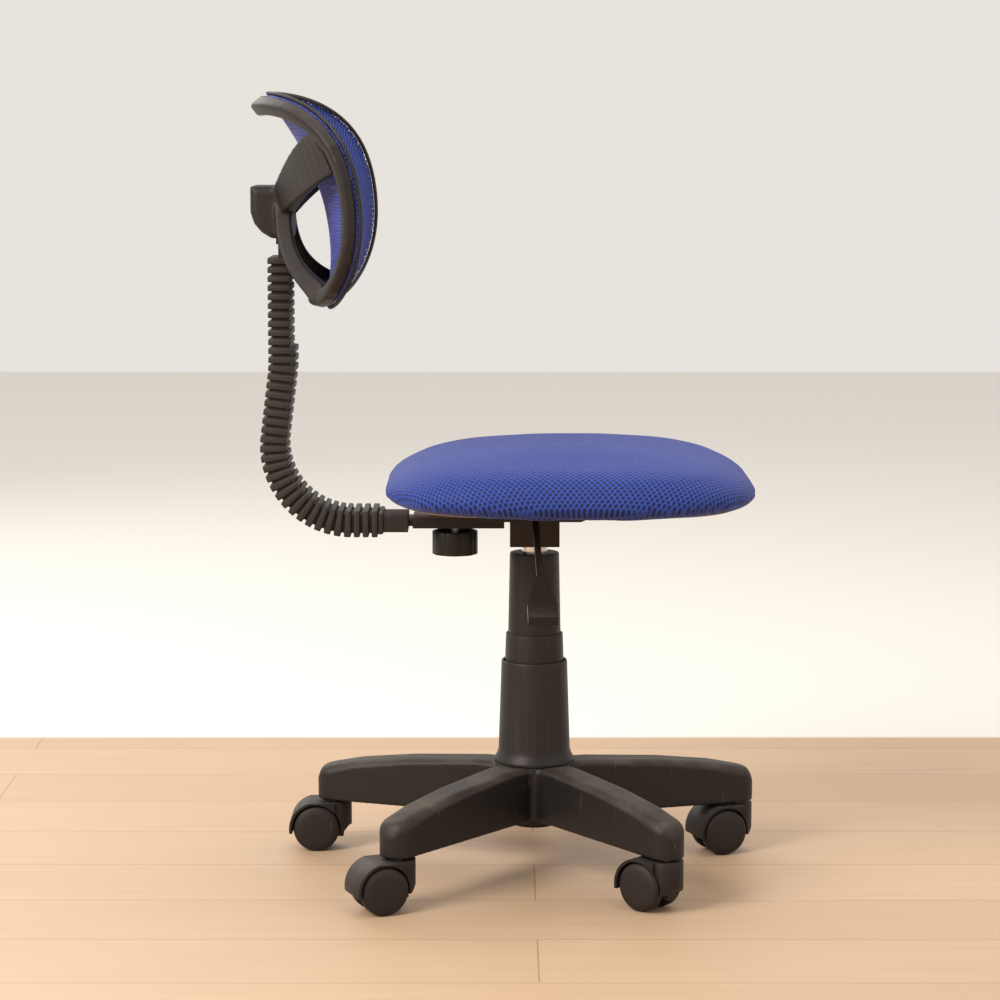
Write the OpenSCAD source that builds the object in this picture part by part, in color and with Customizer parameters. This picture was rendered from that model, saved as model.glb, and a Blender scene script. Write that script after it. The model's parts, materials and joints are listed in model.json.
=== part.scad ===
// Swivel task chair. The origin is the column's axis at the floor, +X is the seat's front.

/* [Base] */
// Radius of the circle that the caster stems stand on
stem_circle_r = 230; // [215:1:245]
// Turn of the base about the column
base_turn = -1.4; // [-10:0.1:10]
// Height of the underside of an arm's end above the floor
arm_end_z = 56; // [55.5:0.1:60]
// Height of the top of the hub above the floor
hub_top_z = 115; // [112:1:118]
// Outer radius of the hub
hub_r = 41; // [38:1:44]
// Radius of an arm's rounded end
arm_end_r = 18.5; // [17:0.5:20]
// Wall of the moulded base
base_wall = 4; // [3:0.5:5]

/* [Casters] */
// Radius of a wheel
wheel_r = 25; // [25:0.1:25.4]
// Width of one wheel
wheel_w = 15; // [13:0.5:16]
// Width of the hood over both wheels
hood_w = 44; // [42:1:46]
// How far the axle trails behind the stem
trail = 20; // [18:0.5:21]
// Radius of the axle
axle_r = 3; // [2.5:0.1:4]
// Radius of the stem
stem_r = 5.5; // [5:0.1:6]
// Radial clearance of a running fit
run_gap = 0.05; // [0.02:0.01:0.09]

/* [Column] */
// Radius of the outer tube
tube_r = 24.8; // [24:0.1:25]
// Radius of the pressure tube
pressure_r = 14; // [13:0.1:15]
// Height of the outer tube's top
tube_top_z = 250; // [235:1:255]
// Height of the seat end of the pressure tube
pressure_top_z = 376; // [374:1:378]
// Radius of the piston rod
rod_r = 5; // [4:0.1:6]
// Height of the upper cover's top
upper_top_z = 339; // [336:1:342]
// Height of the middle cover's top
middle_top_z = 253; // [251:1:255]
// Height of the lower cover's top
lower_top_z = 224; // [220:1:226]
// Wall of the telescopic covers
cover_wall = 1.6; // [1.2:0.1:1.8]

/* [Seat] */
// Depth of the seat, front to back
seat_depth = 392; // [360:1:410]
// Width of the seat
seat_width = 404; // [380:1:430]
// Height of the seat's crown
seat_top_z = 457; // [450:1:468]
// Height of the seat's lower edge
seat_low_z = 399; // [396:1:404]
// Place of the seat's middle in front of the column
seat_x = 36; // [30:1:42]
// Thickness of the seat's plywood board
board_t = 9; // [7:0.5:10]
// Thickness of the fabric cover
cover_t = 2.5; // [1.5:0.1:3]

/* [Mechanism] */
// Half the length of the socket box along X
box_half_x = 26; // [24:1:28]
// Height of the socket box's underside
box_low_z = 348; // [346:1:350]
// Thickness of the pressed steel plate
plate_t = 2.5; // [2:0.1:3]
// Radius of the depth knob
knob_r = 24; // [20:0.5:26]
// Place of the depth knob behind the column
knob_x = -84; // [-90:1:-80]

/* [Spine] */
// Width of the flat spine bar
bar_w = 50; // [40:1:56]
// Thickness of the spine bar
bar_t = 6; // [5:0.5:7]
// Radius of the spine's bend
bend_r = 81; // [78:1:84]
// Forward lean of the spine above its bend
lean = 7; // [5:0.5:9]
// Width of the ribbed cover
bellows_w = 66; // [62:1:72]
// Depth of the ribbed cover across its ribs
bellows_d = 27.5; // [25:0.5:30]
// Pitch of the ribs
rib_pitch = 9.35; // [9:0.05:10]

/* [Back] */
// Half the width of the back frame at the middle of its hoop
back_half_w = 184; // [170:1:200]
// Height of the middle of the hoop
back_mid_z = 711; // [708:1:714]
// Half the height of the hoop, between the middles of its rails
back_half_h = 102; // [96:1:106]
// How far the hoop's sides stand forward of its middle
back_wrap = 34; // [26:1:40]
// Depth of the hoop's rail at its sides, front to back
rail_d = 12.5; // [11:0.5:15]
// Width of the hoop's rail
rail_w = 16; // [14:0.5:18]

/* [Hidden] */
$fn = 96;
arms = 5;
stem_angles = [for (i = [0:arms - 1]) 162 + i * 360 / arms + base_turn];
trail_angles = [180, 202, 138, 201, 180];

/* ---- base ---- */
arm_half_root = 23;
arm_half_tip = arm_end_r;
arm_tip_top_z = 93;
hub_low_z = 53;
socket_r = stem_r + 5;
stem_depth = 24;
taper_in = 1.4;

// The place of one arm: its child is drawn along +X
module at_arm(i) {
  rotate([0, 0, stem_angles[i]]) children();
}

// The plan of one arm from the hub to its round end, grown or shrunk by d
module arm_plan(d) {
  polygon([
    [0, -arm_half_root - d], [60, -arm_half_root - d + 3], [stem_circle_r, -arm_half_tip - d],
    [stem_circle_r, arm_half_tip + d], [60, arm_half_root + d - 3], [0, arm_half_root + d]
  ]);
  translate([stem_circle_r, 0]) circle(r = arm_half_tip + d);
}

// The side view of one arm, its top lowered by d and its underside dropped by u
module arm_side(d, u) {
  end_x = stem_circle_r + arm_end_r + 1;
  polygon([
    [0, hub_low_z + 3 - u], [stem_circle_r - 30, arm_end_z - u], [end_x, arm_end_z - u],
    [end_x, arm_tip_top_z - 8 - d], [end_x - 8, arm_tip_top_z - d], [stem_circle_r - 30, 102 - d],
    [140, 109 - d], [60, hub_top_z - 1 - d], [0, hub_top_z - 1 - d]
  ]);
}

module arm_block(d_plan, d_top, u) {
  intersection() {
    translate([0, 0, hub_low_z - 10]) linear_extrude(90) arm_plan(d_plan);
    rotate([90, 0, 0]) translate([0, 0, -40]) linear_extrude(80) arm_side(d_top, u);
  }
}

module arm_pocket() {
  difference() {
    arm_block(-base_wall, base_wall, 5);
    cylinder(r = hub_r + base_wall, h = 200);
    translate([stem_circle_r, 0, 0]) cylinder(r = socket_r, h = 200);
    for (x = [95, 140, 185]) translate([x, -30, 0]) cube([3, 60, 200]);
  }
}

module star_base() color([0.13, 0.12, 0.11]) difference() {
  union() {
    translate([0, 0, hub_low_z]) cylinder(r = hub_r, h = hub_top_z - hub_low_z);
    for (i = [0:arms - 1]) at_arm(i) arm_block(0, 0, 0);
  }
  for (i = [0:arms - 1]) at_arm(i) {
    arm_pocket();
    translate([stem_circle_r, 0, arm_end_z - 1]) cylinder(r = stem_r + run_gap, h = stem_depth + 1);
  }
  translate([0, 0, hub_low_z - 1])
    cylinder(r1 = tube_r - taper_in + run_gap, r2 = tube_r + run_gap, h = hub_top_z - hub_low_z + 2);
}

/* ---- casters ---- */
hood_gap = 1.6;
hood_wall = 3;
hood_top_z = 53.5;
web_half = 7;
wheel_in = web_half + 1;
neck_r = 18;

// The place of one caster: its child is drawn with the stem on Z and the wheels towards +X
module at_caster(i) {
  at_arm(i) translate([stem_circle_r, 0, 0]) rotate([0, 0, trail_angles[i] - stem_angles[i]]) children();
}

module caster_stem(i) color([0.62, 0.62, 0.6]) at_caster(i) {
  translate([0, 0, 36]) cylinder(r = stem_r, h = arm_end_z + stem_depth - 38);
}

module hood_side() {
  difference() {
    union() {
      translate([trail, wheel_r]) circle(r = wheel_r + hood_gap + hood_wall);
      translate([-neck_r, 27]) square([neck_r * 2, hood_top_z - 27]);
      polygon([[-neck_r, 30], [-neck_r + 9, 20], [trail, 20], [trail, 40]]);
    }
    translate([-60, -60]) square([150, 80]);
    translate([-60, hood_top_z]) square([150, 40]);
  }
}

module caster_hood(i) color([0.12, 0.11, 0.105]) at_caster(i) difference() {
  union() {
    intersection() {
      rotate([90, 0, 0]) translate([0, 0, -hood_w / 2]) linear_extrude(hood_w) hood_side();
      union() {
        translate([0, 0, 0]) cylinder(r = neck_r, h = 70);
        translate([0, -hood_w / 2, 0]) cube([80, hood_w, 70]);
      }
    }
    rotate([90, 0, 0]) translate([trail, wheel_r, -web_half]) cylinder(r = 10, h = web_half * 2);
    translate([-9, -web_half, 14]) cube([trail + 9, web_half * 2, 30]);
  }
  for (s = [-1, 1]) translate([trail, s * (web_half + 20), wheel_r])
    rotate([90, 0, 0]) cylinder(r = wheel_r + hood_gap, h = 40, center = true);
  translate([0, 0, 34]) cylinder(r = stem_r + run_gap, h = 40);
  translate([trail, 0, wheel_r]) rotate([90, 0, 0]) cylinder(r = axle_r, h = 80, center = true);
}

module caster_axle(i) color([0.6, 0.6, 0.6]) at_caster(i)
  translate([trail, 0, wheel_r]) rotate([90, 0, 0])
    cylinder(r = axle_r, h = (wheel_in + wheel_w - 4) * 2, center = true);

// One wheel: domed outside, hollow towards the web, running on the axle
module wheel(i, side) color([0.1, 0.1, 0.1]) at_caster(i)
  translate([trail, side * wheel_in, wheel_r]) rotate([side * -90, 0, 0])
    rotate_extrude() polygon([
      [axle_r + run_gap, 0], [7, 0], [7, wheel_w - 5], [20, wheel_w - 6], [21.5, 1], [24, 0],
      [wheel_r, 1.5], [wheel_r, wheel_w - 6], [wheel_r - 1.2, wheel_w - 3], [wheel_r - 4, wheel_w - 1.2],
      [16, wheel_w - 0.3], [0, wheel_w], [0, wheel_w - 3], [axle_r + run_gap, wheel_w - 3]
    ]);

/* ---- column ---- */
tube_low_z = 46;
lift_up = 55;
lift_down = 45;
middle_share = 0.5;
bearing_z = 56;
piston_z = 222;
pressure_low_z = 145;
pin_r = 4;
pin_top_z = pressure_top_z + 5;
upper_low_z = 205;
middle_low_z = 150;
flange_r = 43;

module outer_tube() color([0.08, 0.08, 0.08]) difference() {
  union() {
    translate([0, 0, hub_low_z]) cylinder(r1 = tube_r - taper_in, r2 = tube_r, h = hub_top_z - hub_low_z);
    translate([0, 0, hub_top_z]) cylinder(r = tube_r, h = tube_top_z - hub_top_z);
    translate([0, 0, tube_low_z]) cylinder(r = tube_r - taper_in, h = hub_low_z - tube_low_z);
  }
  translate([0, 0, bearing_z - 4]) cylinder(r = tube_r - 3.5, h = 300);
  translate([0, 0, tube_low_z - 1]) cylinder(r = rod_r + 0.3, h = 300);
}

module guide_bush() color([0.85, 0.85, 0.8]) translate([0, 0, tube_top_z - 70]) difference() {
  cylinder(r = tube_r - 3.5, h = 70);
  translate([0, 0, -1]) cylinder(r = pressure_r + run_gap, h = 72);
}

module thrust_bearing() color([0.6, 0.6, 0.6]) translate([0, 0, bearing_z - 4]) difference() {
  cylinder(r = 13, h = 7.9);
  translate([0, 0, -1]) cylinder(r = rod_r + run_gap, h = 10);
}

module retaining_clip() color([0.7, 0.7, 0.7]) translate([0, 0, tube_low_z - 2]) difference() {
  cylinder(r = 9, h = 1.9);
  translate([0, 0, -1]) cylinder(r = rod_r - 1, h = 4);
}

module piston_rod() color([0.8, 0.8, 0.8]) {
  translate([0, 0, tube_low_z - 4]) cylinder(r = rod_r - 1 - run_gap, h = 5);
  translate([0, 0, tube_low_z + 1]) cylinder(r = rod_r, h = piston_z - tube_low_z - 1);
  translate([0, 0, bearing_z + 4]) cylinder(r = 9, h = 4);
}

module piston() color([0.7, 0.6, 0.3]) translate([0, 0, piston_z])
  cylinder(r = pressure_r - 2 - run_gap, h = 12);

module pressure_tube() color([0.75, 0.75, 0.75]) difference() {
  union() {
    translate([0, 0, pressure_low_z]) cylinder(r = pressure_r, h = pressure_top_z - pressure_low_z - 28);
    translate([0, 0, pressure_top_z - 28]) cylinder(r1 = pressure_r, r2 = pressure_r - 0.7, h = 28);
  }
  translate([0, 0, pressure_low_z - 1]) cylinder(r = pressure_r - 2, h = pressure_top_z - pressure_low_z - 34);
  translate([0, 0, pressure_top_z - 40]) cylinder(r = pin_r + run_gap, h = 50);
}

module rod_gland() color([0.1, 0.1, 0.1]) translate([0, 0, pressure_low_z + 2]) difference() {
  cylinder(r = pressure_r - 2, h = 14);
  translate([0, 0, -1]) cylinder(r = rod_r + run_gap, h = 16);
}

module release_pin() color([0.7, 0.7, 0.7]) translate([0, 0, pressure_top_z - 25])
  cylinder(r = pin_r, h = pin_top_z - pressure_top_z + 25);

// A telescopic cover turned from its outer radii, each pair a radius and a height
module cover(outline) {
  n = len(outline);
  rotate_extrude() polygon(concat(
    outline,
    [for (i = [n - 1:-1:0]) [outline[i][0] - cover_wall, outline[i][1]]]
  ));
}

module upper_cover() color([0.11, 0.11, 0.105]) {
  cover([[27.8, upper_low_z], [27.8, 255], [26.1, upper_top_z - 2], [25.6, upper_top_z]]);
  translate([0, 0, upper_top_z - 3]) difference() {
    cylinder(r = 25, h = 3);
    translate([0, 0, -1]) cylinder(r = pressure_r + 0.1, h = 5);
  }
}

module middle_cover() color([0.12, 0.115, 0.11])
  cover([[31.2, middle_low_z], [31.2, 222], [30.2, middle_top_z - 1], [29.9, middle_top_z]]);

module lower_cover() color([0.12, 0.115, 0.11])
  cover([
    [42.9, hub_top_z + 0.1], [42.6, hub_top_z + 3], [39.6, hub_top_z + 8], [38, hub_top_z + 13],
    [34.9, lower_top_z - 2], [34.4, lower_top_z]
  ]);

/* ---- mechanism ---- */
plate_top_z = seat_low_z;
tray_z = 377;
tray_half_y = 45;
flange_half_y = 80;
tray_front = 92;
tray_back = -62;
channel_back = -128;
box_half_y = 27;
bolt_x = [-46, 76];
bolt_y = 64;
bolt_r = 3;
bar_z = 373;
lever_y = -36;
lever_z = 384.4;
lever_slope = 24;
lever_w = 6.5;
lever_turn = 2;
rod_out = 125;
grip_len = 76;
grip_w = 29;
screw_r = 4;

// An outline in X and Z, as deep as w and centred on Y = 0
module side_slab(w, outline) {
  rotate([90, 0, 0]) linear_extrude(w, center = true) polygon(outline);
}

function tray_outline(d) = [
  [tray_back + d, plate_top_z + (d > 0 ? 1 : 0)], [tray_back + d, tray_z + 3 + d], [tray_back + 15, tray_z + d],
  [48, tray_z + d], [60, tray_z + 5 + d], [tray_front - 8 - d, tray_z + 8 + d], [tray_front - d, plate_top_z - 8 + d],
  [tray_front - d, plate_top_z + (d > 0 ? 1 : 0)]
];

module at_bolts() {
  for (x = bolt_x, y = [-bolt_y, bolt_y]) translate([x, y, 0]) children();
}

module seat_plate() color([0.06, 0.06, 0.06]) difference() {
  union() {
    side_slab(tray_half_y * 2, tray_outline(0));
    translate([tray_back, -flange_half_y, plate_top_z - plate_t])
      cube([tray_front - tray_back, flange_half_y * 2, plate_t]);
    translate([-box_half_x, -box_half_y, box_low_z]) cube([box_half_x * 2, box_half_y * 2, tray_z + 1 - box_low_z]);
    translate([channel_back, -bar_w / 2 - 3, bar_z - bar_t / 2 - 2])
      cube([-box_half_x - 6 - channel_back, bar_w + 6, bar_t + 4.5]);
  }
  difference() {
    side_slab(tray_half_y * 2 - plate_t * 2, tray_outline(plate_t));
    for (s = [-1, 1]) translate([s * 9.3 - 1.3, lever_y - 7, tray_z]) cube([2.6, 14, lever_z + 5 - tray_z]);
    translate([tray_back, -bar_w / 2 - 3, tray_z - 3]) cube([-box_half_x - 6 - tray_back, bar_w + 6, 6]);
  }
  translate([channel_back - 1, -bar_w / 2 - 0.4, bar_z - bar_t / 2 - 0.1])
    cube([-box_half_x - 9 - channel_back, bar_w + 0.8, bar_t + 0.5]);
  translate([0, 0, box_low_z - 1]) cylinder(r = pressure_r + run_gap, h = 20);
  translate([0, 0, pressure_top_z - 28])
    cylinder(r1 = pressure_r + run_gap, r2 = pressure_r - 0.7 + run_gap, h = 28);
  translate([0, 0, tray_z - 2]) cylinder(r = pressure_r - 2, h = 10);
  translate([-lever_w, -tray_half_y - 1, tray_z - 1]) cube([lever_w * 2, plate_t + 6, 14]);
  for (x = [-19, 12]) translate([x, -tray_half_y - 1, tray_z + 4]) cube([7, plate_t + 2, 3]);
  translate([knob_x, 0, bar_z - 12]) cylinder(r = screw_r + run_gap, h = 10);
  translate([-15, lever_y, lever_z]) rotate([0, 90, 0]) cylinder(r = 2.5, h = 30);
  at_bolts() translate([0, 0, plate_top_z - 10]) cylinder(r = bolt_r + 0.4, h = 20);
}

module lever_pin() color([0.6, 0.6, 0.6]) translate([-13, lever_y, lever_z])
  rotate([0, 90, 0]) cylinder(r = 2.5, h = 26);

// What is drawn along -Y from the pivot, sloping down and turned a little aside
module along_lever() {
  translate([0, lever_y, lever_z]) rotate([0, 0, lever_turn]) rotate([lever_slope, 0, 0]) children();
}

module lever_rod() color([0.05, 0.05, 0.05]) difference() {
  union() {
    translate([-lever_w / 2, lever_y, lever_z - 2.6]) cube([lever_w, 6 - lever_y, 5]);
    translate([-lever_w / 2, lever_y, lever_z]) rotate([0, 90, 0]) cylinder(r = 4.4, h = lever_w);
    along_lever() translate([-lever_w / 2, -rod_out - 20, -2.5]) cube([lever_w, rod_out + 20, 5]);
  }
  translate([-15, lever_y, lever_z]) rotate([0, 90, 0]) cylinder(r = 2.5 + run_gap, h = 30);
}

module lever_grip() color([0.04, 0.04, 0.04]) along_lever() difference() {
  union() {
    translate([0, -rod_out, -4]) linear_extrude(8) polygon([
      [-6, 0], [6, 0], [grip_w / 2, -50], [-grip_w / 2, -50]
    ]);
    translate([-grip_w / 2 - 0.5, -rod_out - grip_len, -5]) cube([grip_w + 1, grip_len - 50, 10]);
  }
  translate([-lever_w / 2 - 0.1, -rod_out - 20.1, -2.6]) cube([lever_w + 0.2, 30, 5.2]);
}

module seat_bolts() color([0.6, 0.6, 0.6]) at_bolts() {
  translate([0, 0, plate_top_z - plate_t - 4]) cylinder(r = 5.5, h = 4, $fn = 6);
  translate([0, 0, plate_top_z - plate_t]) cylinder(r = bolt_r, h = plate_t + board_t - 0.5);
}

module tee_nuts() color([0.7, 0.7, 0.7]) at_bolts() difference() {
  union() {
    translate([0, 0, plate_top_z + 1.5]) cylinder(r = 4, h = board_t - 1.5);
    translate([0, 0, plate_top_z + board_t]) cylinder(r = 9, h = 1.2);
  }
  translate([0, 0, plate_top_z]) cylinder(r = bolt_r + run_gap, h = board_t + 4);
}

/* ---- seat ---- */
edge_layers = [
  [22, 16, 0], [7, 4, 6], [0, 0, 14], [4, 1, 23], [16, 4, 33], [38, 11, 45], [62, 28, 52], [92, 58, 60],
  [128, 100, 67], [160, 145, 71]
];
layer_scale = (seat_top_z - seat_low_z) / 71;
seat_corner = 0.56;

function signed_pow(v, p) = sign(v) * pow(abs(v), p);

// The seat's rounded plan, drawn in at its ends and its sides; the back is narrower than the front
function seat_plan(ends, sides) = [for (a = [0:5:355]) [
  (seat_depth / 2 - ends) * signed_pow(cos(a), seat_corner),
  (seat_width / 2 - sides) * signed_pow(sin(a), seat_corner) * (1 + 0.035 * cos(a))
]];

// The whole upholstered seat, all over d inside its outer face
module seat_solid(d) {
  translate([seat_x, 0, seat_low_z]) hull() for (l = edge_layers)
    translate([0, 0, l[2] * layer_scale - (l[2] > 55 ? d : 0)]) linear_extrude(0.05)
      polygon(seat_plan(l[0] + d, l[1] + d));
}

module board_plan(d) {
  translate([seat_x, 0]) polygon(seat_plan(22 + d, 22 + d));
}

module seat_board() color([0.7, 0.55, 0.35]) difference() {
  translate([0, 0, seat_low_z]) linear_extrude(board_t) board_plan(0);
  at_bolts() translate([0, 0, seat_low_z - 1]) cylinder(r = 4.1, h = board_t + 2);
}

module seat_cushion() color([0.85, 0.82, 0.6]) difference() {
  seat_solid(cover_t + 0.1);
  translate([0, 0, seat_low_z - 5]) linear_extrude(board_t + 6.5) board_plan(-0.3);
}

module seat_cover() color([0.12, 0.17, 0.62]) difference() {
  seat_solid(0);
  seat_solid(cover_t);
  translate([0, 0, seat_low_z - 5]) linear_extrude(board_t) board_plan(-0.2);
}

/* ---- spine ---- */
leg_front_x = -38;
bend_x = -192;
leg_len = leg_front_x - bend_x;
bend_len = bend_r * (90 + lean) * PI / 180;
lean_len = 66;
ease_r = 120;
ease_len = ease_r * lean * PI / 180;
bar_top_z = 727;
path_step = 2;
turn_table = [
  [0, 0], [leg_len, 0], [leg_len + bend_len, 90 + lean], [leg_len + bend_len + lean_len, 90 + lean],
  [leg_len + bend_len + lean_len + ease_len, 90], [1000, 90]
];

// The direction of the spine's middle line, s along it from its front end
function heading(s) = 180 - lookup(s, turn_table);

path = [for (
  i = 0, p = [leg_front_x, bar_z]; i <= 400;
  i = i + 1, p = p + path_step * [cos(heading((i - 0.5) * path_step)), sin(heading((i - 0.5) * path_step))]
) p];
path_x = [for (i = [0:400]) [i * path_step, path[i][0]]];
path_z = [for (i = [0:400]) [i * path_step, path[i][1]]];

// The point at s, moved d to the outside of the bend
function spine_at(s, d) = [
  lookup(s, path_x) - d * sin(heading(s)),
  lookup(s, path_z) + d * cos(heading(s))
];

ease_end = leg_len + bend_len + lean_len + ease_len;
bar_len = ease_end + bar_top_z - lookup(ease_end, path_z);
bar_x = lookup(bar_len, path_x);
bar_stations = concat(
  [0], [for (i = [0:24]) leg_len + bend_len * i / 24],
  [for (i = [0:4]) leg_len + bend_len + lean_len + ease_len * i / 4], [bar_len]
);

module spine_bar() color([0.07, 0.07, 0.07]) side_slab(bar_w, concat(
  [for (s = bar_stations) spine_at(s, bar_t / 2)],
  [for (i = [len(bar_stations) - 1:-1:0]) spine_at(bar_stations[i], -bar_t / 2)]
));

collar_from = 95;
collar_to = 126;
cover_to = bar_len - 72;
ribs = floor((cover_to - collar_to) / rib_pitch);
rib_share = 0.74;
groove_d = 4;
short_lug = 4;
lug_from = ribs - 10;

// One ring of the ribbed cover at s: four corners outside and four inside
function cover_ring(s, front, back, half_w) = concat(
  [for (c = [[-front, -1], [back, -1], [back, 1], [-front, 1]])
    let (q = spine_at(s, c[0])) [q[0], c[1] * half_w, q[1]]],
  [for (c = [[-1, -1], [1, -1], [1, 1], [-1, 1]])
    let (q = spine_at(s, c[0] * (bar_t / 2 + 1))) [q[0], c[1] * (bar_w / 2 + 1), q[1]]]
);

function rib_ring(s, i, inset) = cover_ring(
  s, bellows_d / 2 - inset - (i >= lug_from ? short_lug - inset * 0.6 : 0),
  bellows_d / 2 - inset, bellows_w / 2 - inset
);

cover_rings = [for (i = [0:ribs - 1], k = [0:3]) rib_ring(
  collar_to + 0.3 + (i + rib_share * [0, 0.08, 0.92, 1][k]) * rib_pitch,
  i, k == 0 || k == 3 ? groove_d : 0
)];

// A tube swept over rings of eight points, four outside and four inside
module swept_tube(rings) {
  n = len(rings);
  outer = [for (r = [0:n - 2], k = [0:3])
    [r * 8 + k, r * 8 + (k + 1) % 4, (r + 1) * 8 + (k + 1) % 4, (r + 1) * 8 + k]];
  inner = [for (r = [0:n - 2], k = [0:3])
    [(r + 1) * 8 + 4 + k, (r + 1) * 8 + 4 + (k + 1) % 4, r * 8 + 4 + (k + 1) % 4, r * 8 + 4 + k]];
  ends = [for (k = [0:3]) for (f = [
    [k, 4 + k, 4 + (k + 1) % 4, (k + 1) % 4],
    [(n - 1) * 8 + (k + 1) % 4, (n - 1) * 8 + 4 + (k + 1) % 4, (n - 1) * 8 + 4 + k, (n - 1) * 8 + k]
  ]) f];
  polyhedron([for (r = rings) for (p = r) p], concat(outer, inner, ends), convexity = 10);
}

module spine_cover() color([0.16, 0.145, 0.13]) swept_tube(cover_rings);

module bar_collar() color([0.13, 0.12, 0.11]) {
  low = bar_z - 10;
  high = bar_z + 10;
  difference() {
    union() {
      translate([leg_front_x - collar_to, -bar_w / 2 - 6, low - 1]) cube([5, bar_w + 12, high - low + 2]);
      translate([leg_front_x - collar_to, -bar_w / 2 - 4, low + 1])
        cube([collar_to - collar_from, bar_w + 8, high - low - 3]);
    }
    translate([leg_front_x - collar_to - 1, -bar_w / 2 - 0.1, bar_z - bar_t / 2 - 0.1])
      cube([collar_to, bar_w + 0.2, bar_t + 0.2]);
  }
}

bush_low = bar_top_z - 62;
bush_wall = 2;

module bar_bush() color([0.05, 0.05, 0.05]) difference() {
  translate([bar_x - bar_t / 2 - bush_wall, -bar_w / 2 - bush_wall, bush_low])
    cube([bar_t + bush_wall * 2, bar_w + bush_wall * 2, bar_top_z + 2 - bush_low]);
  translate([bar_x - bar_t / 2 - 0.1, -bar_w / 2 - 0.1, bush_low - 1])
    cube([bar_t + 0.2, bar_w + 0.2, bar_top_z + 1.1 - bush_low]);
}

knob_low_z = 337.5;
knob_high_z = 362;

module depth_knob() color([0.05, 0.05, 0.05]) translate([knob_x, 0, 0]) difference() {
  translate([0, 0, knob_low_z]) cylinder(r = knob_r, h = knob_high_z - knob_low_z);
  translate([0, 0, knob_low_z + 8]) cylinder(r = knob_r - 2.5, h = 30);
  translate([0, 0, knob_low_z + 2]) cylinder(r = screw_r, h = 30);
  for (a = [0:45:315]) rotate([0, 0, a + 15]) translate([knob_r + 5.2, 0, knob_low_z - 1]) cylinder(r = 6, h = 40);
}

module knob_screw() color([0.6, 0.6, 0.6]) translate([knob_x, 0, 0]) {
  translate([0, 0, knob_low_z + 2]) cylinder(r = screw_r, h = bar_z - bar_t / 2 - 0.1 - knob_low_z - 2);
  translate([0, 0, knob_low_z + 8]) cylinder(r = 9, h = 10);
}

/* ---- back ---- */
curve_k = 0.00245;
curve_x = -212.5;
curve_z = back_mid_z - 59;
side_lift = 38;
clip_t = 3.3;
clip_w = 4.5;
mesh_t = 1.6;
mesh_gap = 0.5;
mesh_tuck = 5;
hoop_power = 3.85;
hoop_steps = 72;

// How far forward the back's curved face lies at y and z, and which way it faces there
function side_q(y) = pow(y / back_half_w, 2);
function face_x(y, z) = curve_x + back_wrap * side_q(y) - curve_k * pow(z - curve_z - side_lift * side_q(y), 2);
function unit(v) = v / norm(v);
function face_n(y, z) = unit([
  1, face_x(y - 0.5, z) - face_x(y + 0.5, z), face_x(y, z - 0.5) - face_x(y, z + 0.5)
]);

// The hoop's middle line in Y and Z at the angle a about its centre, drawn in by the share f
function hoop_reach(a) = pow(
  pow(abs(cos(a)) / back_half_w, hoop_power) + pow(abs(sin(a)) / back_half_h, hoop_power), -1 / hoop_power
);
function hoop_yz(a, f) = [0, back_mid_z] + f * hoop_reach(a) * [cos(a), sin(a)];
function face_at(a, f, lift) = let (q = hoop_yz(a, f)) [face_x(q[0], q[1]), q[0], q[1]] + lift * face_n(q[0], q[1]);
function hoop_side(a) = let (q = hoop_yz(a, 1))
  unit(cross(face_at(a + 2, 1, 0) - face_at(a - 2, 1, 0), face_n(q[0], q[1])));

// A closed rail along the hoop, from low to high over the face and from inner to outer across it;
// its rear goes deeper by more at the top and the bottom
module hoop_rail(low, high, inner, outer, chamfer, more = 0) {
  c = chamfer;
  step = 360 / hoop_steps;
  points = [for (i = [0:hoop_steps - 1])
    let (a = i * step + step / 2, rear = low - more * pow(sin(a), 2))
    for (p = [
      [rear + c, inner], [rear, inner + c], [rear, outer - c], [rear + c, outer],
      [high - c, outer], [high, outer - c], [high, inner + c], [high - c, inner]
    ]) face_at(a, 1, p[0]) + p[1] * hoop_side(a)];
  faces = [for (i = [0:hoop_steps - 1], k = [0:7]) let (j = (i + 1) % hoop_steps)
    [i * 8 + (k + 1) % 8, j * 8 + (k + 1) % 8, j * 8 + k, i * 8 + k]];
  polyhedron(points, faces, convexity = 10);
}

rail_more = 6;
boss_half_y = 36;
boss_low_z = 671;
boss_high_z = 725;
boss_back = bar_x - 31;
boss_front = bar_x + 12;
boss_round = 5;
strut_steps = 12;

// A point on the smooth curve that a list of control points draws
function curve(p, t) = len(p) == 1 ? p[0]
  : curve([for (i = [0:len(p) - 2]) p[i] + (p[i + 1] - p[i]) * t], t);

// A four-sided bar along a curve, with its half height and half thickness given as curves too
module swept_bar(middles, heights, depths) {
  n = strut_steps;
  points = [for (i = [0:n], s = [[1, 1], [1, -1], [-1, -1], [-1, 1]])
    curve(middles, i / n) + s[0] * curve(heights, i / n) + s[1] * curve(depths, i / n)];
  sides = [for (i = [0:n - 1], k = [0:3])
    [i * 4 + k, i * 4 + (k + 1) % 4, (i + 1) * 4 + (k + 1) % 4, (i + 1) * 4 + k]];
  polyhedron(points, concat(sides, [[3, 2, 1, 0], [n * 4, n * 4 + 1, n * 4 + 2, n * 4 + 3]]), convexity = 6);
}

// One side's upper web and its lower strut
module struts() {
  swept_bar(
    [[bar_x + 3, 26, 708], [-252, 60, 724], [-238, 112, 746], [-209, 170, 763]],
    [[-4, 0, 12], [0, 0, 27], [-10, -6.5, 21]],
    [[8, -3, 0], [5, -2, 0], [4, -2, 1.5]]
  );
  swept_bar(
    [[bar_x + 3, 33, 706], [-260, 44, 655], [-246, 62, 640], [-217, 106, 618]],
    [[8, 0, 0], [9, 0, 2], [5, 0, 9]],
    [[0, -6, 0], [0, -7, -3], [4, -8, 0]]
  );
}

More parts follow.
